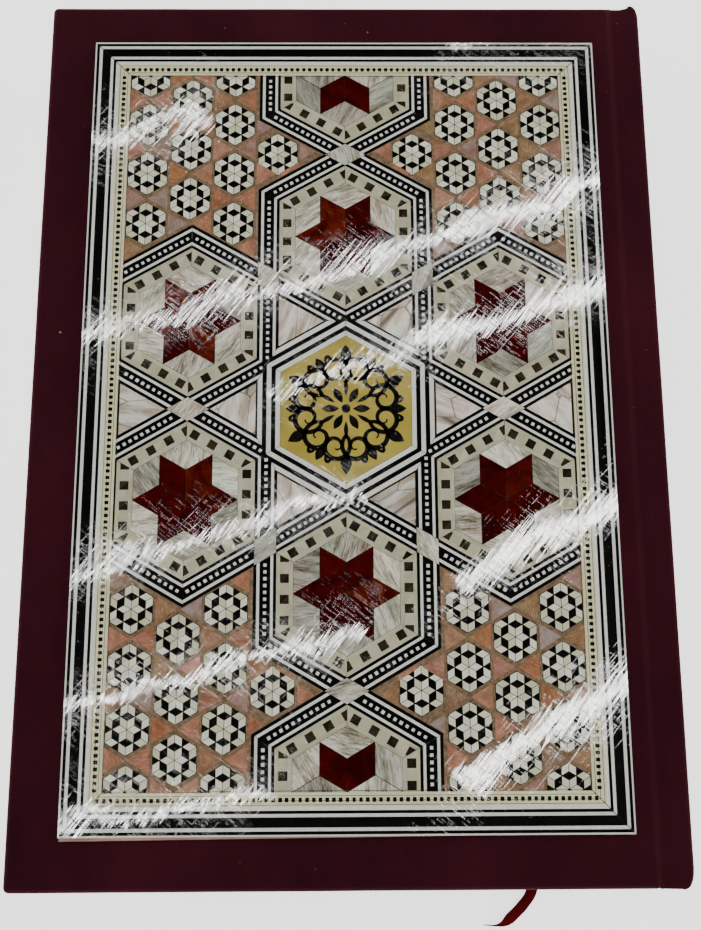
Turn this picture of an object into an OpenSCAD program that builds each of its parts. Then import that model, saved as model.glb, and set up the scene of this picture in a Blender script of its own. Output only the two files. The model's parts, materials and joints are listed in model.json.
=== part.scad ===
// Velvet-bound book with an inlaid mosaic panel on its front cover.
// The closed book lies on its back cover: X runs from fore edge to spine,
// Y towards the head of the pages and Z up. The origin is the bottom centre.

/* [Binding] */
// Width of the closed book, fore edge to spine
book_w = 187; // [184:1:191]
// Height of the book, tail to head
book_h = 260; // [251:1:265]
// Thickness of the velvet cloth
velvet_t = 0.9; // [0.6:0.1:1.2]
// Thickness of each cover board
board_t = 3; // [2:0.1:4]
// Thickness of the pastedown and the turned-in cloth inside a cover
inner_t = 0.7; // [0.5:0.1:1]
// Thickness of each half of the pages
half_t = 12.7; // [10:0.1:16]
// Overhang of the covers past the pages at head and tail
square_w = 6.5; // [3:0.5:7]
// Width of the cloth turned in around each board
turn_in = 14; // [10:1:18]
// Sewn gatherings in each half of the pages
gatherings = 8; // [4:1:10]

/* [Panel] */
// Width of the inlaid panel
panel_w = 152; // [150:1:152]
// Height of the inlaid panel
panel_h = 230; // [228:2:232]
// Width of the panel's striped frame
frame_w = 11; // [10:0.5:12]
// Thickness of the panel's wooden base
base_t = 2; // [1.5:0.1:3]
// Sideways shift of the panel from the middle of the book
panel_x = -2.3; // [-3:0.1:0]
// Thickness of the inlaid tesserae
tile_t = 1.3; // [1:0.1:2]
// Distance between neighbouring hexagons
hex_pitch = 52; // [51:0.5:52]
// Gap of glue between tesserae
seam = 0.12; // [0.08:0.02:0.2]
// Side of the small rhombi in a rosette
rosette_side = 2.25; // [2.1:0.05:2.3]

/* [Ribbon] */
// Width of the ribbon bookmark
ribbon_w = 4; // [3:0.5:6]
// Thickness of the ribbon
ribbon_t = 0.3; // [0.2:0.05:0.3]

/* [Hidden] */
$fn = 96;

gap = 0.3;                          // clearance between moving bodies
cover_t = velvet_t + board_t + inner_t;
lower_z = cover_t;                  // underside of the lower half of the pages
upper_z = lower_z + half_t + gap;   // underside of the upper half
lid_z = upper_z + half_t + gap;     // inner face of the front cover
lid_top = lid_z + cover_t;
mid_z = (lower_z + upper_z + half_t) / 2;
edge_x = book_w / 2;

// Hinge lines of the case, all along Y
joint_t = 1;                        // thickness of the velvet at the joints
strip_w = 6.5;                      // flexible strip between the spine and the front cover
hinge_inset = 3.5;                  // from the spine's outermost line to its hinge lines
cover_inset = 12.5;                 // from there to the covers' edges
strip_z = 2.9;                      // height of the strip above the cover's inner face
foot_z = 1.2;
spine_x = edge_x - hinge_inset;
cover_x = edge_x - cover_inset;
lid_hinge = [spine_x - strip_w, lid_z + strip_z];
spine_top = [spine_x, lid_hinge[1]];
spine_foot = [spine_x, foot_z];
hinge_room = 1;                     // distance kept between a hinge line and the next body

// Rounded spine: every layer is an arc about one centre
spine_bow = 3;
half_chord = mid_z - spine_foot[1] - hinge_room;
spine_r = (half_chord * half_chord + spine_bow * spine_bow) / (2 * spine_bow);
spine_c = edge_x - spine_r;
stiffener_t = 1.4;
hollow = 5.75;                      // room between the spine's face and the pages
block_r = spine_r - hollow;         // rounded back of the pages
lining_t = 0.55;
fore_square = 6;                    // overhang of the covers past the pages' fore edge
block_x = -edge_x + fore_square;
block_h = book_h - 2 * square_w;
leaf_t = 0.2;
corner_r = 2;                       // corners of the covers in plan

// Inlay
tile_z = lid_top + base_t;
field_w = panel_w - 2 * frame_w;
field_h = panel_h - 2 * frame_w;
col = hex_pitch * cos(30);
hex_r = hex_pitch / 2;
stars = [[0, hex_pitch], [0, -hex_pitch], [col, hex_r], [-col, hex_r], [col, -hex_r], [-col, -hex_r]];
half_stars = [[0, 2 * hex_pitch], [0, -2 * hex_pitch]];
all_stars = concat(stars, half_stars);
hexagons = concat(all_stars, [[0, 0]]);
crossings = [
    [[0, 1.5 * hex_pitch], 0], [[0, -1.5 * hex_pitch], 0], [[col, 0], 0], [[-col, 0], 0],
    [[col / 2, 0.75 * hex_pitch], 60], [[-col / 2, 0.75 * hex_pitch], 120],
    [[-col / 2, -0.75 * hex_pitch], 60], [[col / 2, -0.75 * hex_pitch], 120]
];
// Apothems of the star hexagons' layers, from the outside in
band_out = 25.6;
outer_white = 24.8;
dotted_out = 24;
dotted_in = 21;
inner_white = 20.25;
bone_out = 19.5;
bone_in = 14.75;
star_side = bone_in / sqrt(3);
square_side = 2.5;
square_pitch = 5.7;
square_shift = 1.3;                 // pushes each row along, so a mitre cuts its last square
// Half width of the banding where two bands cross
cross_half = 3.05;
med_out = 25.15;                    // the medallion's five stripes
med_stripe = 1.28;
// Frame strips, as distances from the panel's edge
white_strips = [[0, 0.45], [1.3, 2.2], [4.8, 5.65], [6.45, 7.4]];
ebony_strips = [[0.45, 1.3], [2.2, 4.8], [5.65, 6.45]];
bone_strips = [[7.4, 8.55], [9.7, frame_w]];
dot_strip = [8.55, 9.7];
base_slant = 1.2;                   // how far the base shows at the tail's fore corner

// Rosette lattice of one corner field
rosette_col = 12.93;
rosette_row = 15.85;
rosette_x = 20.1;
rosette_y = 79.8;

// Route of the ribbon's free end, from the pages' tail edge to its tip
ribbon_route = [
    [51, -123.5, 17.42], [51.3, -126, 17], [51.8, -128.5, 15.2], [52.4, -130.5, 12],
    [52.8, -131.8, 8.5], [53.1, -133, 5], [53.4, -134.6, 2.2], [53.6, -136.6, 0.9],
    [53.6, -138.6, 0.4], [53.2, -140.3, 0.3], [52.3, -142, 0.3], [50.8, -143.9, 0.3],
    [48.8, -145.9, 0.3], [46.5, -147.9, 0.3], [44, -149.3, 0.3], [41.2, -149.9, 0.3],
    [38.5, -149.9, 0.3]
];
ribbon_sides = 8;

// ---------- general shapes ----------

// Plan of a cover with rounded fore-edge corners
module cover_plan(inset) {
    r = max(corner_r - inset, 0.5);
    x0 = -edge_x + inset;
    x1 = cover_x - inset;
    y1 = book_h / 2 - inset;
    translate([x0 + r, -y1]) square([x1 - x0 - r, 2 * y1]);
    translate([x0, -y1 + r]) square([r, 2 * (y1 - r)]);
    for (side = [-1, 1]) translate([x0 + r, side * (y1 - r)]) circle(r);
}

// Flat layer of a cover between two heights
module cover_layer(z0, z1, inset) {
    translate([0, 0, z0]) linear_extrude(z1 - z0) cover_plan(inset);
}

// Extrudes an XZ outline along Y, centred
module along_y(length) {
    rotate([90, 0, 0]) linear_extrude(length, center = true) children();
}

// XZ ring sector of the rounded spine between two heights
module spine_arc(r_in, r_out, z0, z1) {
    intersection() {
        translate([spine_c, mid_z]) difference() {
            circle(r_out);
            circle(r_in);
        }
        translate([spine_c, z0]) square([spine_r + 1, z1 - z0]);
    }
}

// XZ outline of a slice of the pages with a rounded back
module block_slice(z0, z1) {
    intersection() {
        translate([block_x, z0]) square([edge_x - block_x, z1 - z0]);
        union() {
            translate([spine_c, mid_z]) circle(block_r);
            translate([block_x, z0]) square([spine_c - block_x, z1 - z0]);
        }
    }
}

// ---------- binding ----------

// Velvet wrapped round a board: outer skin, edges and the turned-in border
module wrap(skin_z, board_z, inner_z) {
    low = min(skin_z, inner_z);
    difference() {
        cover_layer(low, low + cover_t, 0);
        cover_layer(board_z, board_z + board_t, velvet_t);
        cover_layer(inner_z, inner_z + inner_t, turn_in);
    }
}

module back_velvet() {
    color("#3a0b16") wrap(0, velvet_t, velvet_t + board_t);
}

module back_board() {
    color("#a08a68") cover_layer(velvet_t, velvet_t + board_t, velvet_t);
}

module back_pastedown() {
    color("#ece2c8") cover_layer(velvet_t + board_t, cover_t, turn_in);
}

module back_joint_velvet() {
    color("#3a0b16") along_y(book_h)
        translate([cover_x, spine_foot[1] - joint_t / 2])
            square([spine_x - hinge_room - cover_x, joint_t]);
}

module front_velvet() {
    color("#3a0b16") {
        translate([0, 0, lid_z]) wrap(inner_t + board_t, inner_t, 0);
        along_y(book_h)
            translate([cover_x, lid_hinge[1] - joint_t / 2])
                square([lid_hinge[0] - hinge_room - cover_x, joint_t]);
    }
}

module front_board() {
    color("#a08a68") cover_layer(lid_z + inner_t, lid_z + inner_t + board_t, velvet_t);
}

module front_pastedown() {
    color("#ece2c8") cover_layer(lid_z, lid_z + inner_t, turn_in);
}

module front_joint_velvet() {
    color("#3a0b16") along_y(book_h) {
        translate([lid_hinge[0], lid_hinge[1] - joint_t / 2])
            square([spine_x - lid_hinge[0], joint_t]);
        for (hinge = [lid_hinge, spine_top]) translate(hinge) circle(joint_t / 2, $fn = 24);
    }
}

module spine_velvet() {
    color("#3a0b16") along_y(book_h)
        spine_arc(spine_r - velvet_t, spine_r, mid_z - half_chord, mid_z + half_chord);
}

module spine_stiffener() {
    color("#b9a98a") along_y(book_h - 2)
        spine_arc(spine_r - velvet_t - stiffener_t, spine_r - velvet_t,
                  mid_z - half_chord + 1, mid_z + half_chord - 1);
}

// ---------- pages ----------

// One half of the pages: folded gatherings stacked with a hair's gap
module gathering_stack(z0) {
    step = (half_t - leaf_t) / gatherings;
    along_y(block_h) for (i = [0 : gatherings - 1])
        block_slice(z0 + i * step, z0 + (i + 0.97) * step);
}

module lower_sections() {
    color("#efe6cf") gathering_stack(lower_z + leaf_t);
}

module upper_sections() {
    color("#efe6cf") gathering_stack(upper_z);
}

module back_flyleaf() {
    color("#f3ecd9") along_y(block_h) block_slice(lower_z, lower_z + leaf_t);
}

module front_flyleaf() {
    color("#f3ecd9") along_y(block_h) block_slice(upper_z + half_t - leaf_t, upper_z + half_t);
}

// Cloth and paper glued to the back of the gatherings
module lining(z0, z1) {
    color("#cfc4a8") along_y(block_h - 6) spine_arc(block_r, block_r + lining_t, z0, z1);
}

module lower_lining() { lining(lower_z + 0.6, lower_z + half_t); }

module upper_lining() { lining(upper_z, upper_z + half_t - 0.6); }

// Sewn bands that cover the back edge of the pages at head and tail
module headbands(z0, z1) {
    band_w = 2;
    color("#b22222") for (side = [-1, 1])
        translate([0, side * (block_h + band_w) / 2, 0])
            along_y(band_w) spine_arc(block_r - 2.5, block_r, z0, z1);
}

module lower_headbands() { headbands(lower_z + 0.8, lower_z + half_t); }

module upper_headbands() { headbands(upper_z, upper_z + half_t - 0.8); }

// ---------- ribbon ----------

// Ribbon lying between the two halves, from the head of the spine to the tail
module ribbon_inner() {
    head = [79.5, block_h / 2];
    tail = [ribbon_route[0][0], -block_h / 2];
    half = [ribbon_w / 2, 0];
    color("#c01826") translate([0, 0, lower_z + half_t + 0.02]) linear_extrude(0.2)
        polygon([tail - half, tail + half, head + half, head - half]);
}

function unit(v) = v / norm(v);
function heading(i) = unit(ribbon_route[min(i + 1, len(ribbon_route) - 1)]
                           - ribbon_route[max(i - 1, 0)]);
function ribbon_ring(i) =
    let (t = i == 0 ? [0, -1, 0] : heading(i), across = unit([t[1], -t[0], 0]), up = cross(across, t))
    [for (k = [0 : ribbon_sides - 1]) let (a = 360 * (k + 0.5) / ribbon_sides)
        ribbon_route[i] + across * (ribbon_w / 2 * sign(cos(a)) * sqrt(abs(cos(a)) / cos(22.5)))
        + up * (ribbon_t / 2 * sin(a) / sin(67.5))];

module ribbon_tail() {
    rings = len(ribbon_route);
    n = ribbon_sides;
    points = [for (i = [0 : rings - 1]) each ribbon_ring(i)];
    walls = [for (i = [0 : rings - 2], k = [0 : n - 1])
        [i * n + k, i * n + (k + 1) % n, (i + 1) * n + (k + 1) % n, (i + 1) * n + k]];
    caps = [[for (k = [n - 1 : -1 : 0]) k], [for (k = [0 : n - 1]) (rings - 1) * n + k]];
    color("#c01826") polyhedron(points, concat(walls, caps));
}

// ---------- inlay outlines ----------

// Pointy-top hexagon given by its apothem
module hexagon(apothem) {
    rotate(30) circle(apothem / cos(30), $fn = 6);
}

module field() {
    square([field_w, field_h], center = true);
}

// Rhombus with 60 degree corners, long diagonal along X
module rhombus(side) {
    polygon([[side * cos(30), 0], [0, side / 2], [-side * cos(30), 0], [0, -side / 2]]);
}

module crossing_plan(grow) {
    for (c = crossings) translate(c[0]) rotate(c[1])
        rhombus((2 * cross_half + grow) / sin(60));
}

// Area beyond the corners where a hexagon at c meets its neighbours
module beyond_neighbours(c) {
    for (other = hexagons)
        if (norm(other - c) > 1 && norm(other - c) < hex_pitch + 1)
            translate(c)
                rotate(atan2(other[1] - c[1], other[0] - c[0]))
                    translate([hex_r - seam / 2, -10]) square([10, 20]);
}

// Thin cuts from the centre through the corners of a hexagon
module mitres() {
    for (a = [30 : 60 : 330]) rotate(a) translate([0, -seam / 2]) square([40, seam]);
}

// Ring of one hexagon between two apothems, trimmed by its neighbours
module ring(c, outer, inner) {
    difference() {
        translate(c) difference() {
            hexagon(outer);
            hexagon(inner);
            mitres();
        }
        beyond_neighbours(c);
    }
}

// Raises a flat pattern to the thickness of the tesserae, within the field
module inlay() {
    translate([panel_x, 0, tile_z]) linear_extrude(tile_t) intersection() {
        field();
        children();
    }
}

module banding(layers) {
    inlay() difference() {
        for (c = all_stars, layer = layers) ring(c, layer[0], layer[1]);
        crossing_plan(seam);
    }
}

// Strips of the rectangular frame, mitred at the corners
module frame_ring(strips) {
    translate([panel_x, 0, tile_z]) linear_extrude(tile_t) difference() {
        for (s = strips) difference() {
            square([panel_w - 2 * s[0], panel_h - 2 * s[0]], center = true);
            square([panel_w - 2 * s[1], panel_h - 2 * s[1]], center = true);
        }
        for (x = [-1, 1], y = [-1, 1])
            translate([x * panel_w / 2, y * panel_h / 2])
                rotate(45 * x * y) square([4 * frame_w, seam / 2], center = true);
    }
}

// ---------- inlaid panel ----------

module panel_base() {
    color("#c89a83") translate([panel_x, 0, lid_top]) linear_extrude(base_t)
        polygon([
            [-panel_w / 2, -panel_h / 2 - base_slant], [panel_w / 2, -panel_h / 2],
            [panel_w / 2, panel_h / 2], [-panel_w / 2, panel_h / 2]
        ]);
}

module frame_white_lines() { color("#e9e7df") frame_ring(white_strips); }

module frame_ebony() { color("#0c0b0a") frame_ring(ebony_strips); }

module frame_bone() { color("#e4dcbd") frame_ring(bone_strips); }

module frame_dot_strip() { color("#8c8774") frame_ring([dot_strip]); }

module banding_black() {
    color("#0c0b0a")
        banding([[band_out, outer_white], [dotted_out, dotted_in], [inner_white, bone_out]]);
}

module banding_white() {
    color("#e9e7df") banding([[outer_white, dotted_out], [dotted_in, inner_white]]);
}

// Dark squares set in one hexagon's bone band
module square_plan(side) {
    for (a = [0 : 60 : 300]) rotate(a) intersection() {
        polygon([[0, 0], [30, -30 * tan(30)], [30, 30 * tan(30)]]);
        for (k = [-1.5 : 1 : 1.5])
            translate([(bone_out + bone_in) / 2, k * square_pitch - square_shift])
                square(side, center = true);
    }
}

module bone_bands() {
    color("#dcd6b6") inlay() for (c = all_stars) difference() {
        ring(c, bone_out - seam, bone_in);
        translate(c) square_plan(square_side);
    }
}

module band_squares() {
    color("#2a2218") inlay() for (c = all_stars) intersection() {
        ring(c, bone_out - seam, bone_in);
        translate(c) square_plan(square_side - seam);
    }
}

module star_rhombi() {
    color("#5c0d0a") inlay() {
        for (c = stars, a = [0 : 60 : 300])
            translate(c) rotate(a) translate([star_side * cos(30), 0]) rhombus(star_side - 2 * seam);
        for (c = half_stars, a = [60, 120])
            translate(c) rotate(-sign(c[1]) * a)
                translate([star_side * cos(30), 0]) rhombus(star_side - 2 * seam);
    }
}

module pearl_rhombi() {
    color("#d8d3c4") inlay() {
        for (c = all_stars, a = [30 : 60 : 330])
            translate(c) rotate(a) translate([1.5 * star_side, 0])
                rotate(90) rhombus(star_side - 2 * seam);
        for (c = half_stars, a = [0, 180])
            translate(c) rotate(a) translate([star_side * cos(30), 0]) rhombus(star_side - 2 * seam);
    }
}

module crossing_tiles() {
    color("#c9b8a6") inlay() crossing_plan(-seam);
}

module medallion_plate() {
    color("#c9a53a") inlay() hexagon(med_out - 5 * med_stripe - seam);
}

// Rings of the medallion's border, counted from the outside
module medallion_rings(numbers) {
    inlay() for (i = numbers)
        ring([0, 0], med_out - i * med_stripe, med_out - (i + 1) * med_stripe);
}

module medallion_white() { color("#e9e7df") medallion_rings([0, 2, 4]); }

module medallion_black() { color("#0c0b0a") medallion_rings([1, 3]); }

// Large shell triangles between the hexagons of the middle
module pearl_triangles() {
    to_centre = hex_pitch * cos(30) / 2 + hex_pitch * sin(60) / 6;
    inner_r = hex_pitch * sin(60) / 6 - (band_out - hex_pitch * cos(30) / 2) - seam;
    color("#d5c6b8") inlay() {
        for (a = [0 : 60 : 300]) rotate(a) translate([to_centre, 0])
            circle(2 * inner_r, $fn = 3);
        for (a = [0, 180]) rotate(a) translate([2 * to_centre, 0]) rotate(180)
            circle(2 * inner_r, $fn = 3);
    }
}

// Outline of a rosette: rhombi at six corners joined by short flats
module rosette_plan(s) {
    polygon([for (a = [0 : 60 : 300]) each [
        for (p = [[s * cos(30), 2.5 * s], [0, 3 * s], [-s * cos(30), 2.5 * s]])
            [p[0] * cos(a) - p[1] * sin(a), p[0] * sin(a) + p[1] * cos(a)]]]);
}

// Repeats a rosette over the lattice of one corner
module rosette_places() {
    translate([rosette_x, 1.5 * hex_pitch]) children();
    for (i = [1 : 3], k = [-2 : 1]) {
        odd = i % 2 == 1;
        if (odd || k > -2)
            translate([rosette_x + i * rosette_col, rosette_y + (odd ? k + 0.5 : k) * rosette_row])
                children();
    }
}

module four_corners() {
    for (x = [0, 1], y = [0, 1]) mirror([x, 0]) mirror([0, y]) children();
}

module rosettes() {
    color("#cfc9ac") inlay() four_corners() rosette_places() rosette_plan(rosette_side);
}

module shell_ground() {
    color("#b88468") inlay() four_corners() difference() {
        translate([0, 0.75 * hex_pitch]) square([field_w / 2, field_h]);
        for (c = all_stars) translate(c) hexagon(band_out + seam);
        crossing_plan(2 * seam);
        rosette_places() rosette_plan(rosette_side + seam / 3);
    }
}

back_velvet();
back_board();
back_pastedown();
back_joint_velvet();
lower_sections();
lower_lining();
lower_headbands();
back_flyleaf();
ribbon_inner();
ribbon_tail();
upper_sections();
upper_lining();
upper_headbands();
front_flyleaf();
spine_velvet();
spine_stiffener();
front_joint_velvet();
front_velvet();
front_board();
front_pastedown();
panel_base();
frame_white_lines();
frame_ebony();
frame_bone();
frame_dot_strip();
banding_black();
banding_white();
bone_bands();
band_squares();
star_rhombi();
pearl_rhombi();
crossing_tiles();
medallion_plate();
medallion_white();
medallion_black();
pearl_triangles();
rosettes();
shell_ground();
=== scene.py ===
"""Looks of a velvet-bound book with an inlaid mosaic panel on its front cover.

Lengths are in millimetres inside the helper functions and become metres when a mesh is made.
"""
import json
import math
import random

import bmesh
import bpy
import numpy as np
from mathutils import Matrix, Vector, noise


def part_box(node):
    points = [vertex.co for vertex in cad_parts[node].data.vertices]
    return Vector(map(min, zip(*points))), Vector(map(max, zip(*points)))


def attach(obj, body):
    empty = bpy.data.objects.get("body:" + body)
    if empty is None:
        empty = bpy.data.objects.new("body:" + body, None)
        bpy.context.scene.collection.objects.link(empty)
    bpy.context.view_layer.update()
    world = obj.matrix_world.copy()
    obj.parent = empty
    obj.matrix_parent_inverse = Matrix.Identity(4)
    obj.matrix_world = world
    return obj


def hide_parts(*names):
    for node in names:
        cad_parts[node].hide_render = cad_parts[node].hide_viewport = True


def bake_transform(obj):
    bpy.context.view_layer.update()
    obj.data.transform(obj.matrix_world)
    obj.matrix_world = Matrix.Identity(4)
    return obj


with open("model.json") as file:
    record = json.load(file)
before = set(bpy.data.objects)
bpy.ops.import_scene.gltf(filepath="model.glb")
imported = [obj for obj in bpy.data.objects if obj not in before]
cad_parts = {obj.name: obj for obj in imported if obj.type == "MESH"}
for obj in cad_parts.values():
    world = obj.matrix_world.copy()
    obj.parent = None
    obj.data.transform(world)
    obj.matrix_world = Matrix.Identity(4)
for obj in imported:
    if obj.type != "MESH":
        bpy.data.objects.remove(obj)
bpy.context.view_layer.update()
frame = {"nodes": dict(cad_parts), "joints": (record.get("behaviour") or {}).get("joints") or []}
NODES = frame["nodes"]
MM = 0.001


# ---------- places taken from the frame ----------

def span(node):
    """Lowest and highest corner of a CAD node, in millimetres."""
    low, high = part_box(node)
    return low / MM, high / MM


LID_LOW, LID_HIGH = span("front_velvet")
BACK_LOW, BACK_HIGH = span("back_velvet")
SPINE_LOW, SPINE_HIGH = span("spine_velvet")
LOWER_LOW, LOWER_HIGH = span("lower_sections")
UPPER_LOW, UPPER_HIGH = span("upper_sections")
TILE_LOW, TILE_HIGH = span("frame_ebony")
JOINTS = {j["name"]: j for j in frame["joints"]}


def hinge(name):
    """X and Z of a hinge line, in millimetres."""
    x, _, z = JOINTS[name]["pos_m"]
    return x / MM, z / MM


LID_HINGE = hinge("front_cover_hinge")
SPINE_TOP = hinge("front_joint_flex")
SPINE_FOOT = hinge("spine_hinge")

HALF_H = LID_HIGH.y  # half the book's height
EDGE_X = SPINE_HIGH.x  # half the book's width
COVER_X = BACK_HIGH.x  # spine-side edge of the covers
TILE_TOP = TILE_HIGH.z  # face of the inlaid panel
PANEL_X = (TILE_LOW.x + TILE_HIGH.x) / 2  # the panel sits a little nearer the fore edge
PANEL_HALF = TILE_HIGH.x - PANEL_X
FIELD_HIGH = span("banding_black")[1]
FIELD_X = FIELD_HIGH.x - PANEL_X  # half sides of the field inside the panel's frame
FIELD_Y = FIELD_HIGH.y

# The panel's pattern: pointy-top hexagons that meet at their corners
COS30 = math.cos(math.radians(30))
PITCH = 52.0
COL = PITCH * COS30
STARS = [(0, PITCH), (0, -PITCH), (COL, PITCH / 2), (-COL, PITCH / 2),
         (COL, -PITCH / 2), (-COL, -PITCH / 2)]
HALF_STARS = [(0, 2 * PITCH), (0, -2 * PITCH)]
HEXAGONS = STARS + HALF_STARS + [(0, 0)]
CROSSINGS = [((0, 1.5 * PITCH), 0), ((0, -1.5 * PITCH), 0), ((COL, 0), 0), ((-COL, 0), 0)] + [
    ((x * COL / 2, y * 0.75 * PITCH), 60 if x == y else 120) for x in (-1, 1) for y in (-1, 1)]
CROSS_HALF = 3.05  # half width of the banding where two bands cross
STAR_SIDE = 14.75 / math.sqrt(3)  # side of a star's rhombi
SEAM = 0.12  # glue between two tiles
BAND_OUT = 25.6  # apothem of a star hexagon's outermost strip
ROSETTE_SIDE = 2.25  # side of a rosette's rhombi
ROSETTE_COL, ROSETTE_ROW = 12.93, 15.85  # pitch of the rosettes
ROSETTE_X, ROSETTE_Y = 20.1, 79.8  # one of them, from which the others are counted
TILE_DEPTH = TILE_TOP - TILE_LOW.z - 0.01
FRAME_W = 11  # width of the panel's striped frame
PROUD = 0.015  # how far the smallest pieces stand proud

# Ribbon: the route of its free end, as in the CAD part
RIBBON_ROUTE = [
    (51, -123.5, 17.42), (51.3, -126, 17), (51.8, -128.5, 15.2), (52.4, -130.5, 12),
    (52.8, -131.8, 8.5), (53.1, -133, 5), (53.4, -134.6, 2.2), (53.6, -136.6, 0.9),
    (53.6, -138.6, 0.4), (53.2, -140.3, 0.3), (52.3, -142, 0.3), (50.8, -143.9, 0.3),
    (48.8, -145.9, 0.3), (46.5, -147.9, 0.3), (44, -149.3, 0.3), (41.2, -149.9, 0.3),
    (38.5, -149.9, 0.3)]
RIBBON_W = 4.0
RIBBON_T = 0.26


# ---------- mesh helpers ----------

def new_object(name, verts, faces, material, smooth=False, sharp=35):
    """A mesh object from points in millimetres."""
    mesh = bpy.data.meshes.new(name)
    mesh.from_pydata([tuple(c * MM for c in v) for v in verts], [], faces)
    mesh.validate()
    mesh.update()
    if smooth:
        mesh.polygons.foreach_set("use_smooth", [True] * len(mesh.polygons))
        mesh.set_sharp_from_angle(angle=math.radians(sharp))
    mesh.materials.append(material)
    obj = bpy.data.objects.new(name, mesh)
    bpy.context.scene.collection.objects.link(obj)
    return obj


def piece(obj, body, slot, *replaced):
    """Puts a finished piece on its body."""
    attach(obj, body)
    if replaced:
        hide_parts(*replaced)


def prisms(name, outlines, z0, z1, material):
    """Flat tiles with the given outlines, all in one mesh."""
    verts, faces = [], []
    for outline in outlines:
        n, base = len(outline), len(verts)
        verts += [(x, y, z0) for x, y in outline]
        verts += [(x, y, z1) for x, y in outline]
        faces.append([base + n + i for i in range(n)])
        faces.append([base + i for i in reversed(range(n))])
        faces += [[base + i, base + (i + 1) % n, base + n + (i + 1) % n, base + n + i]
                  for i in range(n)]
    return new_object(name, verts, faces, material)


def inlay(name, outlines, depth, proud, material, slot, *replaced):
    """Tiles of the panel, given about its middle, from a depth below its face to a height above."""
    moved = [[(x + PANEL_X, y) for x, y in outline] for outline in outlines]
    obj = prisms(name, moved, TILE_TOP - depth, TILE_TOP + proud, material)
    piece(obj, "front_cover", slot, *replaced)


def face_outwards(obj):
    """Turns every face of a closed mesh outwards."""
    fix = bmesh.new()
    fix.from_mesh(obj.data)
    bmesh.ops.recalc_face_normals(fix, faces=fix.faces)
    fix.to_mesh(obj.data)
    fix.free()
    return obj


def add_tube(rings, verts, faces):
    """Adds a body through equal closed rings, with a flat cap at each end."""
    base, n = len(verts), len(rings[0])
    verts += [p for ring in rings for p in ring]
    last = base + (len(rings) - 1) * n
    for first in range(base, last, n):
        for i in range(n):
            j = (i + 1) % n
            faces.append([first + i, first + j, first + n + j, first + n + i])
    faces.append([base + i for i in reversed(range(n))])
    faces.append([last + i for i in range(n)])


def ring_mesh(name, rings, material, sharp=35):
    """One closed body through rings of points."""
    verts, faces = [], []
    add_tube(rings, verts, faces)
    return face_outwards(new_object(name, verts, faces, material, smooth=True, sharp=sharp))


def polar(r, degrees, centre=(0, 0)):
    """The point at a distance and an angle from a centre."""
    a = math.radians(degrees)
    return (centre[0] + r * math.cos(a), centre[1] + r * math.sin(a))


def bar(x0, y0, x1, y1):
    """A level rectangle between two corners."""
    return [(x0, y0), (x1, y0), (x1, y1), (x0, y1)]


def middle_of(outline):
    return tuple(sum(p[i] for p in outline) / len(outline) for i in range(2))


def shrink(outline, by):
    """An outline pulled in towards its middle by about a distance."""
    cx, cy = middle_of(outline)
    near = min(edge_distance(outline[i - 1], outline[i], (cx, cy)) for i in range(len(outline)))
    k = max(0.0, 1 - by / max(near, 1e-6))
    return [(cx + (x - cx) * k, cy + (y - cy) * k) for x, y in outline]


def edge_distance(a, b, p):
    """Distance from p to the line through a and b."""
    dx, dy = b[0] - a[0], b[1] - a[1]
    length = math.hypot(dx, dy) or 1e-9
    return abs(dx * (p[1] - a[1]) - dy * (p[0] - a[0])) / length


def clip(outline, nx, ny, limit):
    """The part of a convex outline where nx*x + ny*y is at most limit."""
    kept = []
    for i, p in enumerate(outline):
        q = outline[i - 1]
        dp = nx * p[0] + ny * p[1] - limit
        dq = nx * q[0] + ny * q[1] - limit
        if (dp <= 0) != (dq <= 0):
            t = dq / (dq - dp)
            kept.append((q[0] + t * (p[0] - q[0]), q[1] + t * (p[1] - q[1])))
        if dp <= 0:
            kept.append(p)
    return kept


def inside_field(outline, margin=0.05):
    """Clips an outline to the panel's field."""
    for nx, ny, limit in ((1, 0, FIELD_X), (-1, 0, FIELD_X), (0, 1, FIELD_Y), (0, -1, FIELD_Y)):
        outline = clip(outline, nx, ny, limit - margin)
    return outline


def within_field(outlines, gap=0.0):
    """Outlines pulled in by a gap and clipped to the field, without those that vanish."""
    cut = [inside_field(shrink(o, gap) if gap else o) for o in outlines]
    return [o for o in cut if big_enough(o)]


def big_enough(outline, area=0.05):
    """Whether a cut outline still has more than an area, in square millimetres."""
    if len(outline) < 3:
        return False
    twice = sum(outline[i - 1][0] * outline[i][1] - outline[i][0] * outline[i - 1][1]
                for i in range(len(outline)))
    return abs(twice) / 2 > area


# ---------- material helpers ----------

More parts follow.
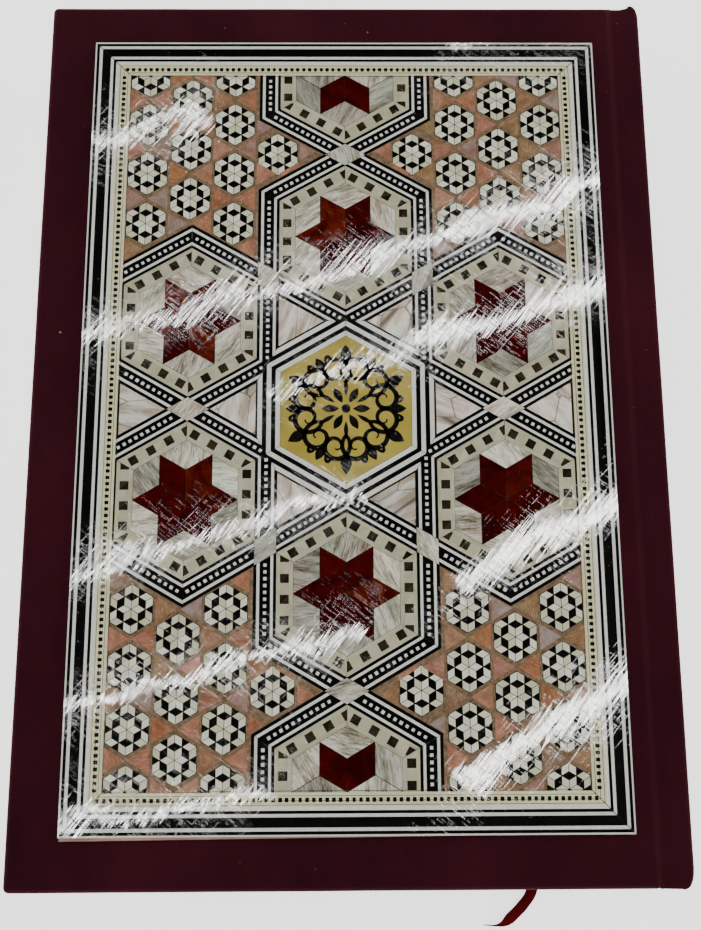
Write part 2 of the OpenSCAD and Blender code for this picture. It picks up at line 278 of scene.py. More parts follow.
class Shader:
    """A short way to build one material's nodes."""

    def __init__(self, name):
        self.material = bpy.data.materials.new(name)
        self.material.use_nodes = True
        self.tree = self.material.node_tree
        self.bsdf = self.tree.nodes["Principled BSDF"]
        self.coords = self.node("ShaderNodeTexCoord", {}).outputs["Object"]

    def node(self, kind, inputs, **settings):
        """A new node with its settings made and its inputs fed, by name or number."""
        made = self.tree.nodes.new(kind)
        for key, value in settings.items():
            setattr(made, key, value)
        for key, value in inputs.items():
            self.feed(made.inputs[key], value)
        return made

    def feed(self, target, value):
        """Links an output, or sets a plain value."""
        if isinstance(value, bpy.types.NodeSocket):
            self.tree.links.new(value, target)
        else:
            target.default_value = value

    def set(self, **values):
        """Feeds the main shader's inputs, with underscores for the spaces in their names."""
        for key, value in values.items():
            self.feed(self.bsdf.inputs[key.replace("_", " ")], value)

    def turned(self, angle, source=None):
        """Coordinates turned about Z."""
        inputs = {"Vector": source or self.coords, "Angle": angle}
        return self.node("ShaderNodeVectorRotate", inputs, rotation_type="Z_AXIS").outputs["Vector"]

    def turned_per_island(self):
        """Coordinates turned by a random angle on each tile."""
        return self.turned(self.maths("MULTIPLY", self.island(), 40.0))

    def stretched(self, scale, degrees=0, source=None):
        """Coordinates turned about Z, then scaled: large scales make fine grain."""
        vector = self.turned(math.radians(degrees), source) if degrees else source or self.coords
        return self.node("ShaderNodeMapping", {"Vector": vector, "Scale": scale}).outputs["Vector"]

    def noise(self, vector, scale=1.0, detail=3.0, roughness=0.5, distortion=0.0):
        inputs = {"Vector": vector, "Scale": scale, "Detail": detail, "Roughness": roughness,
                  "Distortion": distortion}
        return self.node("ShaderNodeTexNoise", inputs).outputs["Fac"]

    def ramp(self, factor, *stops):
        """Stops are (position, (r, g, b)) or (position, grey)."""
        made = self.node("ShaderNodeValToRGB", {"Fac": factor})
        elements = made.color_ramp.elements
        while len(elements) < len(stops):
            elements.new(0.5)
        for element, (position, colour) in zip(elements, stops):
            element.position = position
            element.color = (*colour, 1) if isinstance(colour, tuple) else (colour, colour, colour, 1)
        return made.outputs["Color"]

    def mix(self, factor, a, b, blend="MIX"):
        """Mixes two colours, given as outputs or as (r, g, b)."""
        a, b = ((*c, 1) if isinstance(c, tuple) else c for c in (a, b))
        made = self.node("ShaderNodeMix", {0: factor, 6: a, 7: b}, data_type="RGBA", blend_type=blend)
        return made.outputs[2]

    def times(self, a, b):
        """One colour or grey multiplied by another."""
        return self.mix(1.0, a, b, "MULTIPLY")

    def maths(self, operation, a, b):
        return self.node("ShaderNodeMath", {0: a, 1: b}, operation=operation).outputs[0]

    def bump(self, height, distance, strength=1.0, normal=None):
        inputs = {"Height": height, "Distance": distance, "Strength": strength}
        if normal:
            inputs["Normal"] = normal
        return self.node("ShaderNodeBump", inputs).outputs["Normal"]

    def island(self):
        """A random number for each separate tile."""
        return self.node("ShaderNodeNewGeometry", {}).outputs["Random Per Island"]


def lacquer(shader):
    """Thick clear lacquer: a slightly wavy face, polishing marks and hairline scratches."""
    fine = shader.noise(shader.stretched((110, 2600, 110), 38), detail=2, roughness=0.6)
    fine = shader.ramp(fine, (0.56, 0.0), (0.64, 1.0))
    cross = shader.noise(shader.stretched((80, 2000, 80), -48), detail=1, roughness=0.5)
    cross = shader.ramp(cross, (0.62, 0.0), (0.70, 0.7))
    scratches = shader.mix(1.0, fine, cross, "ADD")
    polish = shader.noise(shader.stretched((45, 620, 45), -52), detail=2, roughness=0.55)
    waves = shader.noise(shader.coords, scale=42, detail=1, roughness=0.4)
    wavy = shader.bump(waves, 0.0006, 0.38)
    hatched = shader.bump(polish, 0.00004, 0.45, wavy)
    normal = shader.bump(scratches, 0.0000032, 0.7, hatched)
    shader.set(Coat_Weight=1.0, Coat_Roughness=0.02, Coat_IOR=1.75, Coat_Normal=normal)
    shader.set(Specular_IOR_Level=0.0)  # nothing shines again underneath the lacquer


# ---------- materials ----------

def velvet_material():
    s = Shader("burgundy_velvet")
    nap = s.noise(s.stretched((26, 15, 26)), detail=5, roughness=0.62)
    pile = s.noise(s.coords, scale=1900, detail=2)
    tone = s.ramp(nap, (0.30, (0.026, 0.0022, 0.0054)), (0.70, (0.060, 0.0058, 0.0136)))
    tone = s.mix(s.maths("MULTIPLY", pile, 0.5), tone, (0.012, 0.0010, 0.0026))
    lint = s.noise(s.coords, scale=520, detail=1)
    tone = s.mix(s.ramp(lint, (0.80, 0.0), (0.83, 1.0)), tone, (0.26, 0.20, 0.19))
    fibres = s.bump(pile, 0.00025, 0.8)
    folds = s.bump(nap, 0.0006, 0.25, fibres)
    s.set(Base_Color=tone, Roughness=0.92, Normal=folds)
    s.set(Sheen_Weight=0.55, Sheen_Roughness=0.42, Sheen_Tint=(0.42, 0.06, 0.12, 1))
    s.set(Specular_IOR_Level=0.12)
    return s.material


def ribbon_material():
    s = Shader("red_satin_ribbon")
    weave = s.noise(s.stretched((5200, 900, 900)), detail=2)
    shade = s.noise(s.coords, scale=160, detail=3)
    tone = s.ramp(shade, (0.3, (0.066, 0.0040, 0.0062)), (0.72, (0.135, 0.0065, 0.0092)))
    tone = s.mix(s.maths("MULTIPLY", weave, 0.5), tone, (0.05, 0.0015, 0.0030))
    s.set(Base_Color=tone, Roughness=0.5, Normal=s.bump(weave, 0.0001, 0.6), Specular_IOR_Level=0.0)
    return s.material


def paper_material(name, light, dark, leaves=False):
    s = Shader(name)
    cloud = s.noise(s.coords, scale=9, detail=2)
    tone = s.ramp(cloud, (0.3, dark), (0.7, light))
    fibre = s.noise(s.coords, scale=1600, detail=3)
    normal = s.bump(fibre, 0.00005, 0.5)
    if leaves:
        lines = s.noise(s.stretched((0.4, 0.4, 3600)), detail=3, roughness=0.7)
        stripes = s.ramp(lines, (0.34, 0.40), (0.56, 1.0))
        tone = s.times(tone, stripes)
        normal = s.bump(lines, 0.0002, 0.7, normal)
    s.set(Base_Color=tone, Roughness=0.82, Normal=normal, Specular_IOR_Level=0.25)
    return s.material


def plain_material(name, dark, light, roughness, grain, stretch=None, relief=0.0, edge=0.3,
                   lacquered=False, **more):
    """One noise that shades between two tones; relief is the height of its bump, in metres."""
    s = Shader(name)
    cloud = s.noise(s.stretched(stretch) if stretch else s.coords, **grain)
    s.set(Base_Color=s.ramp(cloud, (edge, dark), (1 - edge, light)), Roughness=roughness, **more)
    if relief:
        s.set(Normal=s.bump(cloud, relief, 0.5))
    if lacquered:
        lacquer(s)
    return s.material


def lining_material():
    s = Shader("spine_lining_cloth")
    warp = s.noise(s.stretched((900, 5200, 900)), detail=1)
    weft = s.noise(s.stretched((900, 900, 5200)), detail=1)
    weave = s.maths("MULTIPLY", warp, weft)
    tone = s.ramp(weave, (0.12, (0.40, 0.33, 0.22)), (0.38, (0.74, 0.66, 0.50)))
    s.set(Base_Color=tone, Roughness=0.95, Normal=s.bump(weave, 0.0002, 0.7))
    return s.material


def headband_material():
    s = Shader("striped_silk_headband")
    inputs = {"Vector": s.coords, "Scale": 260, "Distortion": 0.4}
    wave = s.node("ShaderNodeTexWave", inputs, wave_type="BANDS", bands_direction="Z").outputs["Fac"]
    tone = s.ramp(wave, (0.42, (0.45, 0.012, 0.018)), (0.58, (0.82, 0.76, 0.60)))
    s.set(Base_Color=tone, Roughness=0.5, Sheen_Weight=0.3, Normal=s.bump(wave, 0.0002, 0.6))
    return s.material


def inlay_material(name, dark, light, grain, spread=0.25):
    """Plain strips under lacquer, a little different from tile to tile."""
    s = Shader(name)
    cloud = s.noise(s.stretched(grain), detail=4, roughness=0.6)
    value = s.maths("ADD", s.maths("MULTIPLY", s.island(), spread), s.maths("MULTIPLY", cloud, 1 - spread))
    s.set(Base_Color=s.ramp(value, (0.28, dark), (0.72, light)), Roughness=0.45)
    lacquer(s)
    return s.material


def pearl_material(name, streak, dark, middle, light, contrast=0.5, cracked=False):
    """Mother-of-pearl: wavy growth lines that run another way on each tile."""
    s = Shader(name)
    turned = s.turned_per_island()
    lines = s.noise(s.stretched((streak[0], streak[1], 60), source=turned), detail=5, roughness=0.7,
                    distortion=0.7)
    broad = s.noise(s.stretched((70, 420, 60), source=turned), detail=2)
    value = s.maths("ADD", s.maths("MULTIPLY", lines, 0.6), s.maths("MULTIPLY", broad, 0.4))
    tone = s.ramp(value, (0.38, dark), (0.47, middle), (0.57, light))
    tone = s.times(tone, s.ramp(s.island(), (0.15, 1 - contrast), (0.65, 1.0)))
    tint = s.noise(s.coords, scale=70, detail=2)
    blush = s.ramp(tint, (0.38, (0.95, 1.0, 0.93)), (0.52, (1.0, 0.98, 0.94)), (0.66, (1.0, 0.90, 0.86)))
    tone = s.times(tone, blush)
    if cracked:
        inputs = {"Vector": s.stretched((75, 150, 75), source=turned), "Scale": 1.0}
        cells = s.node("ShaderNodeTexVoronoi", inputs, feature="DISTANCE_TO_EDGE")
        tone = s.times(tone, s.ramp(cells.outputs["Distance"], (0.006, 0.35), (0.022, 1.0)))
    s.set(Base_Color=tone, Metallic=0.2, Roughness=0.34, Normal=s.bump(lines, 0.00012, 0.6))
    lacquer(s)
    return s.material


def pink_shell_material():
    """Dyed shell: pink, orange, tan and lilac tiles with crinkled streaks."""
    s = Shader("dyed_shell")
    hue = s.ramp(s.island(), (0.0, (0.36, 0.15, 0.045)), (0.17, (0.42, 0.15, 0.10)),
                 (0.34, (0.24, 0.16, 0.060)), (0.50, (0.50, 0.22, 0.15)),
                 (0.67, (0.36, 0.11, 0.045)), (0.82, (0.32, 0.25, 0.25)), (1.0, (0.22, 0.14, 0.075)))
    turned = s.turned_per_island()
    lines = s.noise(s.stretched((600, 3200, 200), source=turned), detail=5, roughness=0.75, distortion=1.0)
    tone = s.mix(s.ramp(lines, (0.47, 0.0), (0.66, 0.6)), hue, (0.72, 0.50, 0.36))
    patch = s.noise(s.coords, scale=260, detail=3)
    tone = s.mix(s.ramp(patch, (0.44, 0.0), (0.66, 0.6)), tone, (0.20, 0.085, 0.030))
    s.set(Base_Color=tone, Metallic=0.1, Roughness=0.35, Normal=s.bump(lines, 0.0001, 0.5))
    lacquer(s)
    return s.material


def red_material():
    """Dark red shell with a few paler clouds, different on each rhombus."""
    s = Shader("red_shell")
    mottle = s.noise(s.coords, scale=150, detail=5, roughness=0.65, distortion=0.8)
    deep = s.ramp(mottle, (0.40, (0.028, 0.0004, 0.0006)), (0.72, (0.095, 0.0016, 0.0012)))
    warm = s.ramp(mottle, (0.38, (0.060, 0.0010, 0.0006)), (0.70, (0.22, 0.024, 0.0034)))
    tone = s.mix(s.ramp(s.island(), (0.74, 0.0), (1.0, 0.85)), deep, warm)
    s.set(Base_Color=tone, Roughness=0.3)
    lacquer(s)
    return s.material


def gold_material():
    s = Shader("gold_leaf")
    cloud = s.noise(s.coords, scale=130, detail=4)
    tone = s.ramp(cloud, (0.3, (0.35, 0.275, 0.046)), (0.7, (0.48, 0.385, 0.080)))
    leaf = s.noise(s.coords, scale=1500, detail=3)
    s.set(Base_Color=tone, Metallic=0.25, Roughness=0.45, Normal=s.bump(leaf, 0.00004, 0.5))
    lacquer(s)
    return s.material


def floor_material():
    s = Shader("pale_floor")
    cloud = s.noise(s.coords, scale=3, detail=3)
    tone = s.ramp(cloud, (0.3, (0.86, 0.858, 0.85)), (0.7, (0.90, 0.898, 0.89)))
    s.set(Base_Color=tone, Roughness=0.75, Emission_Color=tone, Emission_Strength=1.9)
    return s.material


# ---------- camera ----------

EYE = Vector((PANEL_X - 0.8, -55.5, 274.4))
ROLL, TILT, LEAN = -0.19, 9.44, -0.45  # the camera's turns about Z, X and Y, in degrees


def add_camera():
    """Hand-held above the tail half of the book, tilted a little towards its head."""
    data = bpy.data.cameras.new("camera")
    data.lens = 32.9
    data.sensor_width = 36
    data.clip_start = 0.01
    camera = bpy.data.objects.new("camera", data)
    bpy.context.scene.collection.objects.link(camera)
    turn = (Matrix.Rotation(math.radians(ROLL), 4, "Z") @ Matrix.Rotation(math.radians(TILT), 4, "X")
            @ Matrix.Rotation(math.radians(LEAN), 4, "Y"))
    camera.matrix_world = Matrix.Translation(EYE * MM) @ turn
    bpy.context.scene.camera = camera


# ---------- ribbon ----------

def smooth_step(value, start, end):
    """0 before the start, 1 after the end, and a smooth rise between them."""
    t = min(1.0, max(0.0, (value - start) / (end - start)))
    return t * t * (3 - 2 * t)


def smooth_route(points, steps):
    """Catmull-Rom curve through the points."""
    p = [Vector(a) for a in points]
    p = [2 * p[0] - p[1]] + p + [2 * p[-1] - p[-2]]
    out = []
    for i in range(1, len(p) - 2):
        for k in range(steps):
            t = k / steps
            out.append(0.5 * (2 * p[i] + (p[i + 1] - p[i - 1]) * t
                              + (2 * p[i - 1] - 5 * p[i] + 4 * p[i + 1] - p[i + 2]) * t * t
                              + (3 * p[i] - p[i - 1] - 3 * p[i + 1] + p[i + 2]) * t ** 3))
    return out + [p[-2]]


def add_ribbon(material):
    """The free end: a thin woven band that turns on its edge and narrows to a point."""
    route = smooth_route(RIBBON_ROUTE, 4)
    last = len(route) - 1
    rings = []
    for i, point in enumerate(route):
        ahead = route[min(i + 1, last)] - route[max(i - 1, 0)]
        ahead = Vector((0, -1, 0)) if i == 0 else ahead.normalized()
        level = Vector((ahead.y, -ahead.x, 0)).normalized()
        share = i / last
        turn = math.radians(24 * smooth_step(share, 0.35, 0.60) + 46 * smooth_step(share, 0.80, 0.95))
        width = RIBBON_W * (1 - 0.72 * smooth_step(share, 0.86, 1.0))
        across = Matrix.Rotation(-turn, 3, ahead) @ level
        up = across.cross(ahead)
        lift = Vector((0, 0, width / 2 * math.sin(turn)))
        ring = []
        for side in (1, -1):
            for k in range(7):
                u = side * (k / 3 - 1)
                edge = RIBBON_T / 2 * (0.75 if abs(u) > 0.99 else 1.0)
                ripple = 0.05 * math.sin(i * 0.9 + u * 2) if 2 < i < last - 2 else 0
                ring.append(point + lift + across * (u * width / 2) + up * (side * edge + ripple))
        rings.append([tuple(v[:2]) + (max(v.z, 0.04),) for v in ring])
    ribbon = ring_mesh("ribbon_free_end", rings, material)
    piece(ribbon, "root", "ribbon", "ribbon_tail")


# ---------- velvet case ----------

def cloth_ripple(x, y, z):
    """Soft unevenness of the glued velvet, in millimetres."""
    return 0.10 * noise.noise(Vector((x / 23, y / 31, z / 11))) + 0.03 * noise.noise(
        Vector((x / 4, y / 5, z / 4)))


FORE_ROUND, SPINE_ROUND = 1.7, 1.2  # corner radii of the covers in plan
EDGE_ROUND = 1.9  # rounding of their edges
TURN_IN = 14  # width of the cloth turned in around each board
END_ROUND = 1.3  # rounding of a joint's or the spine's cloth at head and tail
ROLLED_ENDS = {1: (1.35, 4.0), -1: (0.25, 5.2)}  # spine's head and tail: reach past the covers, rounding
SEAM_X = (LID_HINGE[0] + SPINE_TOP[0]) / 2


def plan_ring(inset, z):
    """One closed ring round a cover's plan, with rounded corners and a softly rippled height."""
    x0, x1 = BACK_LOW.x, COVER_X
    corners = [(x1, HALF_H, 0, SPINE_ROUND), (x0, HALF_H, 90, FORE_ROUND),
               (x0, -HALF_H, 180, FORE_ROUND), (x1, -HALF_H, 270, SPINE_ROUND)]
    arcs = []
    for cx, cy, start, radius in corners:
        r = max(radius - inset, 0.25)
        centre = (cx - math.copysign(r + inset, cx - (x0 + x1) / 2), cy - math.copysign(r + inset, cy))
        arcs.append([polar(r, start + 90 * k / 5, centre) for k in range(6)])
    ring = []
    for i, arc in enumerate(arcs):
        ring += arc
        (ax, ay), (bx, by) = arc[-1], arcs[(i + 1) % 4][0]
        count = 36 if i % 2 == 0 else 52
        ring += [(ax + (bx - ax) * k / count, ay + (by - ay) * k / count) for k in range(1, count)]
    ripple = 1 if inset < TURN_IN - 1 else 0.3  # calmer under the panel and the pastedown
    return [(x, y, z + cloth_ripple(x, y, z) * ripple) for x, y in ring]


def add_cover_skin(name, low, high, outside_up, body, material, replaced):
    """Velvet round one board: outer face, rounded edges and the turned-in border."""
    face, turned = (high, low) if outside_up else (low, high)
    way = 1 if outside_up else -1
    under = face - way * 0.8  # the cloth's own underside, on the board
    profile = [(inset, face) for inset in (34, 24, 18, 14, 10, 7, 4.5, 3)]
    steps = [(EDGE_ROUND * (1 - math.sin(a)), way * EDGE_ROUND * (1 - math.cos(a)))
             for a in (math.radians(15 * k) for k in range(7))]
    profile += [(inset, face - drop) for inset, drop in steps]
    profile += [(inset, turned + drop) for inset, drop in reversed(steps)]
    profile += [(inset, turned) for inset in (4, 8, 12, TURN_IN - 0.4)]
    profile += [(TURN_IN, turned + way * 0.25), (TURN_IN, turned + way * 0.62), (1.2, turned + way * 0.66)]
    profile += [(1.2, under), (34, under)]
    skin = ring_mesh(name, [plan_ring(inset, z) for inset, z in profile], material, sharp=50)
    piece(skin, body, "velvet", replaced)


def add_swept_skin(name, line, thickness, material, reach=HALF_H):
    """Cloth with an XZ centreline, swept over the book's height, with soft ends.

    The ends stand out and turn round the corner on the spine, and stay tucked in by the covers.
    """
    normals = []
    for i in range(len(line)):
        a, b = line[max(i - 1, 0)], line[min(i + 1, len(line) - 1)]
        length = math.hypot(b[0] - a[0], b[1] - a[1])
        normals.append((-(b[1] - a[1]) / length, (b[0] - a[0]) / length))
    # stations along Y: which end, how far in from it, and the share of the thickness
    depths = [(END_ROUND * (1 - math.sin(math.radians(a))), 0.30 + 0.70 * math.cos(math.radians(a)))
              for a in (90, 68, 45, 22, 0)] + [(END_ROUND + d, 1.0) for d in (1.2, 2.4, 4.0, 6.5, 10)]
    stations = [(-1, d, share) for d, share in depths]
    stations += [(0, -100 + 8.0 * k, 1.0) for k in range(26)]
    stations += [(1, d, share) for d, share in reversed(depths)]
    rings = []
    for side, d, share in stations:
        swell, radius = ROLLED_ENDS[side] if side else (0, 1)
        short = max(0.0, radius - d) if side else 0.0
        round_off = radius - math.sqrt(radius ** 2 - short ** 2)
        outer, under = [], []
        for (x, z), (nx, nz) in zip(line, normals):
            tuck = 0.7 * (1 - smooth_step(x, COVER_X - 1.2, COVER_X + 0.2))
            reached = reach + swell * smooth_step(x, LID_HINGE[0] + 1.5, SPINE_TOP[0] - 1.0) - tuck
            y = side * (reached - d) if side else d
            inset = round_off * max(0.0, (x - SEAM_X) / (EDGE_X - SEAM_X))
            half = thickness / 2 * share
            outer.append((x - inset + nx * half, y, z + nz * half))
            under.append((x - inset - nx * half, y, z - nz * half))
        ring = outer + list(reversed(under))
        rings.append([(p[0] + 0.4 * cloth_ripple(*p), p[1], p[2] + 0.5 * cloth_ripple(*p)) for p in ring])
    return ring_mesh(name, rings, material, sharp=50)


def bezier(a, b, c, d, count):
    """Points along a cubic Bezier curve."""
    out = []
    for k in range(count + 1):
        t = k / count
        w = ((1 - t) ** 3, 3 * t * (1 - t) ** 2, 3 * t * t * (1 - t), t ** 3)
        out.append(tuple(sum(wi * p[i] for wi, p in zip(w, (a, b, c, d))) for i in range(2)))
    return out


SPINE_MID = (SPINE_LOW.z + SPINE_HIGH.z) / 2
HALF_CHORD = (SPINE_HIGH.z - SPINE_LOW.z) / 2
SPINE_BOW = SPINE_HIGH.x - (EDGE_X - 3)
SPINE_R = (HALF_CHORD ** 2 + SPINE_BOW ** 2) / (2 * SPINE_BOW)
SPINE_C = EDGE_X - SPINE_R


def spine_arc(z, depth):
    """X of the rounded spine at a height, a depth below its face."""
    r = SPINE_R - depth
    return SPINE_C + math.sqrt(r * r - (z - SPINE_MID) ** 2)


def arc_line(start, end, count, depth=0.5):
    """Points down the spine between two heights, a depth below its face."""
    return [(spine_arc(z, depth), z) for z in np.linspace(start, end, count)]


def add_case(velvet, card):
    """The velvet of both covers, the spine and the joints."""
    add_cover_skin("front_cover_velvet", LID_LOW.z, LID_HIGH.z, True, "front_cover", velvet, "front_velvet")
    add_cover_skin("back_cover_velvet", BACK_LOW.z, BACK_HIGH.z, False, "root", velvet, "back_velvet")

    cloth = 1.0
    high, low = SPINE_HIGH.z, SPINE_LOW.z
    corner = 3.5  # how much of the spine's face the joint strips cover
    lid_x, joint_z = LID_HINGE

    outer = bezier((COVER_X - 2.2, LID_HIGH.z - 0.62), (COVER_X - 0.4, LID_HIGH.z - 0.7),
                   (COVER_X - 0.2, joint_z), (lid_x - 1.4, joint_z), 8)
    outer += [(lid_x - 1.0 + 0.35 * k, joint_z) for k in range(9)] + [(SEAM_X, joint_z)]
    strip = add_swept_skin("front_joint_outer", outer, cloth, velvet)
    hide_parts("front_joint_velvet")
    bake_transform(strip)

    over = [(SEAM_X, joint_z), (SEAM_X + 0.6, joint_z), (SEAM_X + 1.2, joint_z)]
    over += bezier((SPINE_TOP[0] - 1.5, joint_z), (SPINE_TOP[0] - 0.3, joint_z + 0.05),
                   (spine_arc(high, 0.5) - 0.05, high + 0.5), (spine_arc(high - 0.6, 0.5), high - 0.6), 9)
    over += arc_line(high - 1.2, high - corner, 4)
    strip = add_swept_skin("front_joint_inner", over, cloth, velvet)
    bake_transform(strip)

    spine = add_swept_skin("spine_cover_velvet", arc_line(high - corner, low + corner, 18), cloth, velvet)
    piece(spine, "spine", "velvet", "spine_velvet")
    core = add_swept_skin("spine_card", arc_line(high - 1, low + 1, 16, 1.7), 1.2, card, HALF_H - 3)
    piece(core, "spine", "board", "spine_stiffener")

    foot_x, foot_z = SPINE_FOOT
    under = arc_line(low + corner, low + 1.2, 4)
    under += bezier((spine_arc(low + 0.6, 0.5), low + 0.6), (spine_arc(low, 0.5) - 0.05, low - 0.5),
                    (foot_x - 0.3, foot_z - 0.05), (foot_x - 1.5, foot_z), 9)
    under += [(foot_x - 2.1, foot_z), (foot_x - 2.7, foot_z)]
    strip = add_swept_skin("back_joint_inner", under, cloth, velvet)
    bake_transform(strip)

    flat = [(foot_x - 2.7 - 0.8 * k, foot_z) for k in range(6)]
    flat += bezier((foot_x - 7.2, foot_z), (COVER_X - 0.2, foot_z), (COVER_X - 0.4, 0.75),
                   (COVER_X - 2.2, 0.7), 8)
    strip = add_swept_skin("back_joint_outer", flat, cloth, velvet)
    piece(strip, "root", "velvet", "back_joint_velvet")


# ---------- pages ----------

BLOCK_BACK = LOWER_HIGH.x
BLOCK_R = BLOCK_BACK - SPINE_C
BLOCK_H = LOWER_HIGH.y
LEAF_WIDTH = BLOCK_BACK - LOWER_LOW.x - 0.3
GATHERINGS = 8
FOLD = 0.16  # rounding of a gathering's edges


def block_back(z):
    """X of the pages' rounded back at a height."""
    return SPINE_C + math.sqrt(BLOCK_R ** 2 - (z - SPINE_MID) ** 2)


def add_pages(name, z0, z1, seed, body, material, replaced):
    """One half of the pages: gatherings with soft folds, each cut a hair differently."""
    random.seed(seed)
    step = (z1 - z0) / GATHERINGS
    verts, faces = [], []
    for g in range(GATHERINGS):
        low, high = z0 + g * step + 0.01, z0 + (g + 1) * step - 0.01
        fore = random.uniform(-0.12, 0.12)
        mid = (low + high) / 2
        rows = [(low, 1.2), (low + FOLD / 2, 0.35), (low + FOLD, 0.0), (mid, 0.0),
                (high - FOLD, 0.0), (high - FOLD / 2, 0.35), (high, 1.2)]
        outline = [(block_back(z) - LEAF_WIDTH + fore + 0.12 * pull, z) for z, pull in rows]
        outline += [(block_back(z) - 0.55 * pull, z) for z, pull in reversed(rows)]
        trim = random.uniform(-0.06, 0.06)
        stations = [(-BLOCK_H + trim, 0.10), (-BLOCK_H + trim + 0.12, 0.0),
                    (BLOCK_H + trim - 0.12, 0.0), (BLOCK_H + trim, 0.10)]
        rings = [[(x, y, z + (mid - z) * close) for x, z in outline] for y, close in stations]
        add_tube(rings, verts, faces)
    pages = face_outwards(new_object(name, verts, faces, material, smooth=True, sharp=30))
    piece(pages, body, "page_paper", replaced)


def add_headbands(name, body, material, replaced):
    """Rolls of sewn silk that follow the rounded back at head and tail."""
    low, high = span(replaced)
    verts, faces = [], []
    r = 1.15
    for side in (-1, 1):
        rings = []
        for z in np.linspace(low.z, high.z, 14):
            centre = (block_back(z) - r - 0.1, side * (BLOCK_H + r - 0.2))
            rings.append([(*polar(r, 30 * k, centre), z) for k in range(12)])
        add_tube(rings, verts, faces)
    bands = new_object(name, verts, faces, material, smooth=True, sharp=50)
    piece(bands, body, "headband", replaced)


def ruled_frame(inset_x0, inset_x1, inset_y, width):
    """Four thin bars that frame a page, as outlines."""
    x0, x1 = LOWER_LOW.x + inset_x0, BLOCK_BACK - 5 - inset_x1
    y1 = BLOCK_H - inset_y
    y = y1 - width
    return [bar(x0, -y1, x1, -y), bar(x0, y, x1, y1),
            bar(x0, -y, x0 + width, y), bar(x1 - width, -y, x1, y)]


def add_page_frames(gold, ink):
    """Ruled borders on the pages that show when the book is open."""
    faces = [("lower_page_frame", LOWER_HIGH.z, 1, "root"),
             ("upper_page_frame", UPPER_LOW.z, -1, "upper_pages"),
             ("front_leaf_frame", span("front_flyleaf")[1].z, 1, "upper_pages")]
    for name, z, way, body in faces:
        z0, z1 = sorted((z - way * 0.01, z + way * 0.012))
        bars = prisms(name + "_gold", ruled_frame(13, 17, 13, 1.7), z0, z1, gold)
        piece(bars, body, "gold_plate")
        lines = prisms(name + "_line", ruled_frame(11.4, 15.4, 11.4, 0.45)
                       + ruled_frame(16.0, 20.0, 16.0, 0.45), z0, z1, ink)
        piece(lines, body, "ebony")


# ---------- inlaid panel ----------

def rhombus(centre, side, degrees):
    """60 degree rhombus with its long diagonal along an angle."""
    long, short = side * COS30, side / 2
    return [polar(d, degrees + a, centre) for d, a in ((long, 0), (short, 90), (long, 180), (short, 270))]


def add_star_tiles(red, pearl):
    """The red and pearl rhombi of every star; the stars at the head and tail are cut in half."""
    to_red, to_pearl, side = STAR_SIDE * COS30, 1.5 * STAR_SIDE, STAR_SIDE - 2 * SEAM
    reds = [rhombus(polar(to_red, a, c), side, a) for c in STARS for a in range(0, 360, 60)]
    pearls = [rhombus(polar(to_pearl, a, c), side, a + 90) for c in STARS + HALF_STARS
              for a in range(30, 360, 60)]
    for c in HALF_STARS:
        inward = -math.copysign(1, c[1])
        reds += [rhombus(polar(to_red, inward * a, c), side, inward * a) for a in (60, 120)]
        pearls += [rhombus(polar(to_red, a, c), side, a) for a in (0, 180)]
    inlay("red_star_tiles", reds, TILE_DEPTH, 0, red, "red_shell", "star_rhombi")
    inlay("pearl_star_tiles", within_field(pearls), TILE_DEPTH, 0, pearl, "pearl", "pearl_rhombi")


def add_crossing_tiles(material):
    """One pearl rhombus where two bands cross."""
    side = (2 * CROSS_HALF - SEAM) / math.sin(math.radians(60))
    outlines = [inside_field(rhombus(c, side, degrees)) for c, degrees in CROSSINGS]
    inlay("crossing_pearl_tiles", outlines, TILE_DEPTH, 0, material, "pearl", "crossing_tiles")


def rosette_places():
    """Middles of the rosettes in all four corners of the field."""
    places = [(ROSETTE_X, 1.5 * PITCH)]
    for i in (1, 2, 3):
        odd = i % 2
        for k in range(-2 if odd else -1, 2):
            places.append((ROSETTE_X + i * ROSETTE_COL, ROSETTE_Y + (k + odd / 2) * ROSETTE_ROW))
    return [(x * sx, y * sy) for x, y in places for sx in (1, -1) for sy in (1, -1)]


def rosette_outline(centre, s):
    """Rhombi at six corners, joined by short flats."""
    return [polar(math.hypot(x, y), math.degrees(math.atan2(y, x)) + a, centre) for a in range(0, 360, 60)
            for x, y in ((s * COS30, 2.5 * s), (0, 3 * s), (-s * COS30, 2.5 * s))]


def add_rosettes(cream, black, glue):
    """Each rosette: a cream star, black rhombi, cream pairs outside and black triangles."""
    s = ROSETTE_SIDE
    gap = 0.085
    pale, dark, beds = [], [], []
    random.seed(11)
    for centre in rosette_places():
        beds.append(inside_field(rosette_outline(centre, s)))
        drift = random.uniform(-1.6, 1.6)
        for k in range(6):
            a = 60 * k + drift
            pale.append(rhombus(polar(s * COS30, a, centre), s, a))
            dark.append(rhombus(polar(1.5 * s, a + 30, centre), s, a + 120))
            corner = polar(2 * s, a + 30, centre)
            tip = polar(s, a + 30, corner)
            for turn in (-120, 120):
                start = polar(s, a + 30 + turn, corner)
                side = (start[0] + tip[0] - corner[0], start[1] + tip[1] - corner[1])
                pale.append([corner, start, side, tip])
            tip = polar(2 * s * COS30, a, centre)
            dark.append([tip, polar(s, a - 30, tip), polar(s, a + 30, tip)])
    inlay("rosette_cream_tiles", within_field(pale, gap), 1.2, 0, cream, "rosette_mosaic", "rosettes")
    inlay("rosette_black_tiles", within_field(dark, gap), 1.2, 0, black, "ebony")
    inlay("rosette_beds", beds, 1.3, -0.03, glue, "rosette_mosaic")


